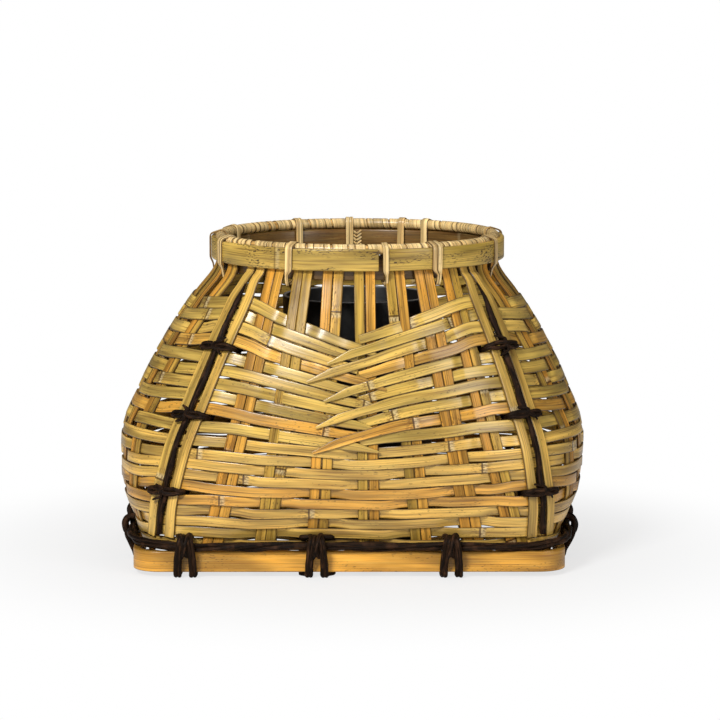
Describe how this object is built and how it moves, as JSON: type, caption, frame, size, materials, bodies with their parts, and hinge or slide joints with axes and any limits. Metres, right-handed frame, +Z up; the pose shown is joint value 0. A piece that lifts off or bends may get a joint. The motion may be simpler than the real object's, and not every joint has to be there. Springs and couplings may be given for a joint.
{
  "type": "woven bamboo flower basket",
  "caption": "Square-footed, round-mouthed woven bamboo flower basket with interlaced strips crossing on the front, corner struts, a tied foot frame, a bound rim and a lift-out liner pot.",
  "frame": {"origin": "on the surface that the basket stands on, below the middle of its width and depth", "axes": "+X to the right and +Y to the back, seen from the front where the strips cross, +Z up"},
  "size_m": [0.271, 0.2058, 0.1868],
  "materials": {
    "weft": "glossy split bamboo",
    "stake": "glossy split bamboo",
    "slat": "satin bamboo",
    "frame": "satin bent bamboo",
    "hoop": "satin bamboo skin",
    "cane": "satin split cane",
    "vine": "matt dark vine bark",
    "liner": "matt black"
  },
  "bodies": {
    "basket": {"foot_frame": "frame", "foot_vine_right": "vine", "foot_vine_back": "vine", "foot_vine_left": "vine", "foot_vine_front": "vine", "foot_tie_front_1": "vine", "foot_tie_front_2": "vine", "foot_tie_front_3": "vine", "foot_tie_right_1": "vine", "foot_tie_right_2": "vine", "foot_tie_back_1": "vine", "foot_tie_back_2": "vine", "foot_tie_left_1": "vine", "foot_tie_left_2": "vine", "stake_long_1": "stake", "stake_long_2": "stake", "stake_long_3": "stake", "stake_long_4": "stake", "stake_long_5": "stake", "stake_long_6": "stake", "stake_long_7": "stake", "stake_cross_1": "stake", "stake_cross_2": "stake", "stake_cross_3": "stake", "stake_cross_4": "stake", "stake_cross_5": "stake", "stake_cross_6": "stake", "weft_lower_1": "weft", "weft_lower_2": "weft", "weft_lower_3": "weft", "weft_lower_4": "weft", "weft_lower_5": "weft", "weft_upper_1": "weft", "weft_upper_2": "weft", "weft_upper_3": "weft", "weft_upper_4": "weft", "weft_upper_5": "weft", "weft_upper_6": "weft", "weft_upper_7": "weft", "weft_upper_8": "weft", "weft_upper_9": "weft", "weft_upper_10": "weft", "corner_slat_front_right_a": "slat", "corner_slat_front_right_b": "slat", "corner_vine_front_right": "vine", "corner_slat_back_right_a": "slat", "corner_slat_back_right_b": "slat", "corner_vine_back_right": "vine", "corner_slat_back_left_a": "slat", "corner_slat_back_left_b": "slat", "corner_vine_back_left": "vine", "corner_slat_front_left_a": "slat", "corner_slat_front_left_b": "slat", "corner_vine_front_left": "vine", "rim_outer_hoop": "hoop", "rim_inner_hoop": "hoop", "rim_binding": "cane"},
    "liner_pot": {"liner": "liner"}
  },
  "joints": [
    {"name": "liner_lift", "type": "slide", "parent": "basket", "child": "liner_pot", "axis": [0, 0, 1], "range_m": [0, 0.19]}
  ]
}
